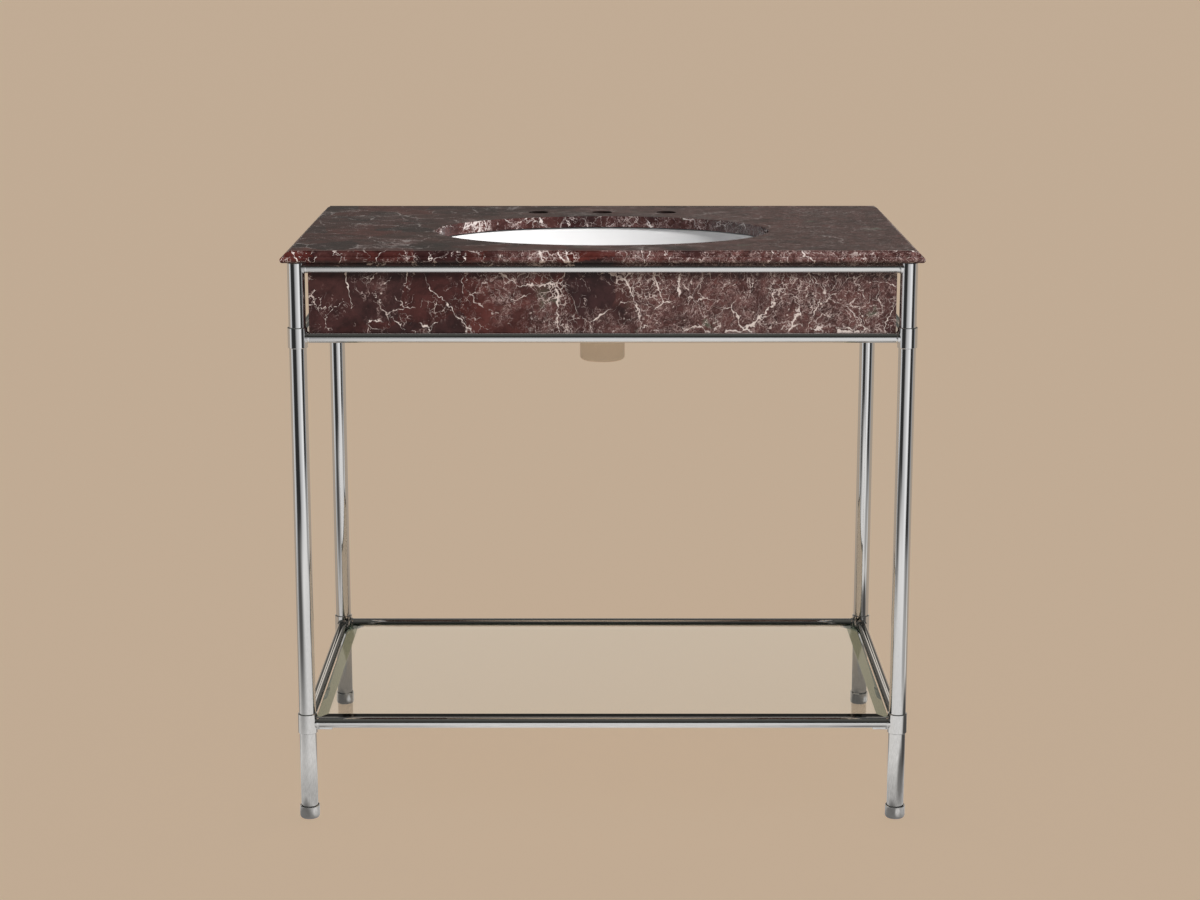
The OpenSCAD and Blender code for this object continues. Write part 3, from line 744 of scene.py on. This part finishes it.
def floor():
    """An even warm floor to the eye, with painted reflections of its own, shade and highlights among them,
    for what polished surfaces mirror.
    """
    put_down()
    bpy.ops.mesh.primitive_circle_add(vertices=96, radius=70, fill_type="NGON", location=(0, 0, 0))
    ground = named("floor")
    material, tree, shader, coords = new_finish("pale_floor")
    spot = along(tree, coords)

    # Far off, the painted reflection goes by direction from the front legs, from left to right
    ahead = plus(tree, spot["Y"], -LEG_FRONT)
    reach = plus(tree, times(tree, ahead, ahead), times(tree, spot["X"], spot["X"]))
    reach = sums(tree, "SQRT", reach)
    turn = sums(tree, "DIVIDE", spot["X"], sums(tree, "MAXIMUM", reach, 0.001))
    far = ramp(tree, remap(tree, turn, -1.0, 1.0),
               (0.010, 0.62), (0.045, 0.025), (0.290, 0.025), (0.360, 0.30), (0.480, 0.52), (0.640, 0.66),
               (0.740, 0.90), (0.845, 0.80), (0.880, 0.03), (0.985, 0.03), (1.0, 0.35), smooth=False)
    nearer = remap(tree, spot["Y"], -1.0, -0.35, soft=True)
    tone = blend(tree, nearer, (0.80, 0.79, 0.775), (0.76, 0.74, 0.71))
    tone = blend(tree, remap(tree, reach, 1.3, 2.2, soft=True), tone, far)

    # Painted shade: under the shelf the mirrored floor is dimmer and, at the back, warmer
    back = remap(tree, spot["Y"], 0.02, 0.14, soft=True)
    under = blend(tree, back, (0.32, 0.295, 0.27), (0.41, 0.34, 0.27))
    tone = blend(tree, remap(tree, spot["Y"], -0.11, 0.0, soft=True), tone, under)

    # Round patches of painted shade and highlight: x, y, inner and outer radius, strength, grey. Each leg has
    # a dim painted shade, a dark painted shadow and a painted highlight
    shade_and_highlight_patches = [(-1.35, -1.0, 0.25, 1.2, 0.95, 0.05), (1.35, -0.75, 0.30, 0.60, 0.6, 0.12),
               (0.85, -0.20, 0.15, 0.36, 0.95, 0.03), (0.60, -0.38, 0.06, 0.20, 0.85, 0.05)]
    for leg_x, leg_y, glint_x, glint_y in (
            (-LEG_X, LEG_FRONT, 0.042, -0.022), (LEG_X, LEG_FRONT, 0.018, -0.044),
            (-LEG_X, LEG_BACK, 0.034, -0.033), (LEG_X, LEG_BACK, 0.036, -0.012)):
        shade_and_highlight_patches += [(leg_x, leg_y, 0.10, 0.30, 0.50, 0.24),
                    (leg_x - 0.028, leg_y - 0.032, 0.022, 0.075, 0.85, 0.12),
                    (leg_x + glint_x, leg_y + glint_y, 0.006, 0.028, 0.9, 0.75)]
    for x, y, inner, outer, strength, grey in shade_and_highlight_patches:
        away = vectors(tree, "DISTANCE", coords, (x, y, 0.0))
        patch = remap(tree, away, inner, outer, strength, 0.0, soft=True)
        tone = blend(tree, patch, tone, (grey, grey * 0.97, grey * 0.93))
    # Painted reflection: dark mottling close to the stand, for the legs to mirror
    mottle = remap(tree, noise(tree, coords, 38.0, 4.0, roughness=0.65), 0.42, 0.60, 0.0, 0.30)
    close = remap(tree, reach, 0.9, 1.4, 1.0, 0.0)
    tone = blend(tree, times(tree, mottle, close), tone, (0.10, 0.09, 0.08))

    mirrored = mirrored_only(tree)
    feed(tree, shader, {"Base Color": blend(tree, mirrored, (0.85, 0.66, 0.48), (0.0, 0.0, 0.0)),
                        "Emission Color": blend(tree, mirrored, (0.40, 0.305, 0.222), tone),
                        "Emission Strength": 1.0, "Roughness": 0.8, "Specular IOR Level": 0.1})
    ground.data.materials.append(material)


def surroundings():
    """Light from all round: what the eye sees, what polished surfaces mirror, and soft light for the rest."""
    world = bpy.data.worlds.new("studio")
    bpy.context.scene.world = world
    world.use_nodes = True
    tree = world.node_tree
    tree.nodes.clear()
    way = along(tree, tree.nodes.new("ShaderNodeTexCoord").outputs["Generated"])
    height = way["Z"]
    seen = ramp(tree, height, (0.0, (0.52, 0.40, 0.285)), (0.6, (0.62, 0.57, 0.50)))

    # Mirrored: a bright band low behind the stand, and darkness in front of it
    band = ramp(tree, height, (0.0, (0.12, 0.115, 0.105)), (0.16, (0.090, 0.090, 0.080)),
                (0.27, (0.72, 0.66, 0.58)), (0.33, (0.66, 0.61, 0.54)), (0.42, (0.16, 0.15, 0.14)),
                (0.9, (0.05, 0.05, 0.05)))
    beside = remap(tree, sums(tree, "ABSOLUTE", way["X"]), 0.125, 0.215, soft=True)
    band = blend(tree, beside, band, (0.10, 0.095, 0.085))
    front = ramp(tree, height, (0.0, (0.50, 0.50, 0.49)), (0.05, (0.020, 0.020, 0.018)),
                 (0.5, (0.035, 0.035, 0.031)), (0.8, (0.07, 0.07, 0.063)), (1.0, (0.085, 0.085, 0.075)))
    mirrored = blend(tree, remap(tree, way["Y"], 0.1, 0.6), front, band)

    soft = ramp(tree, height, (0.0, (0.42, 0.41, 0.40)), (0.25, (0.28, 0.28, 0.27)),
                (0.5, (0.13, 0.13, 0.125)), (1.0, (0.13, 0.13, 0.13)))
    tone = blend(tree, mirrored_only(tree), soft, mirrored)
    ray = tree.nodes.new("ShaderNodeLightPath").outputs
    to_eye = sums(tree, "MAXIMUM", ray["Is Camera Ray"], ray["Is Transmission Ray"])
    to_eye = times(tree, to_eye, sums(tree, "LESS_THAN", ray["Diffuse Depth"], 0.5))
    glow = place(tree, "Background", {"Color": blend(tree, to_eye, tone, seen), "Strength": 1.0})
    place(tree, "OutputWorld", {"Surface": glow.outputs[0]})


def lamp(name, place_at, spread, strength):
    """An even light on the stand from far away, softened by its spread in degrees; the floor is left out."""
    data = bpy.data.lights.new(name, "SUN")
    data.angle = math.radians(spread)
    data.energy = strength
    data.color = (1.0, 0.98, 0.95)
    light = bpy.data.objects.new(name, data)
    bpy.context.scene.collection.objects.link(light)
    light.location = place_at
    light.rotation_euler = (-Vector(place_at)).to_track_quat("-Z", "Y").to_euler()
    light.visible_camera = light.visible_glossy = light.visible_transmission = False
    lit = bpy.data.collections.new(name + "_lights")
    for piece in bpy.context.scene.objects:
        if piece.type == "MESH" and piece.name != "floor":
            lit.objects.link(piece)
    light.light_linking.receiver_collection = lit


def photo_camera():
    """The photo's camera as closely as it can be without shift: level, and pitched down."""
    pitch_down = 12.29
    lens = bpy.data.cameras.new("camera")
    lens.sensor_width = 36
    lens.lens = 73.9
    camera = bpy.data.objects.new("camera", lens)
    bpy.context.scene.collection.objects.link(camera)
    camera.location = (-0.0036, -3.739, 1.318)
    camera.rotation_euler = (math.radians(90 - pitch_down), 0, 0)
    bpy.context.scene.camera = camera
    bpy.context.scene.view_settings.view_transform = "Standard"


floor()
surroundings()
lamp("key", (2.42, -2.0, 3.05), spread=9, strength=5.0)
lamp("fill", (1.6, -3.2, 0.9), spread=50, strength=0.06)
photo_camera()
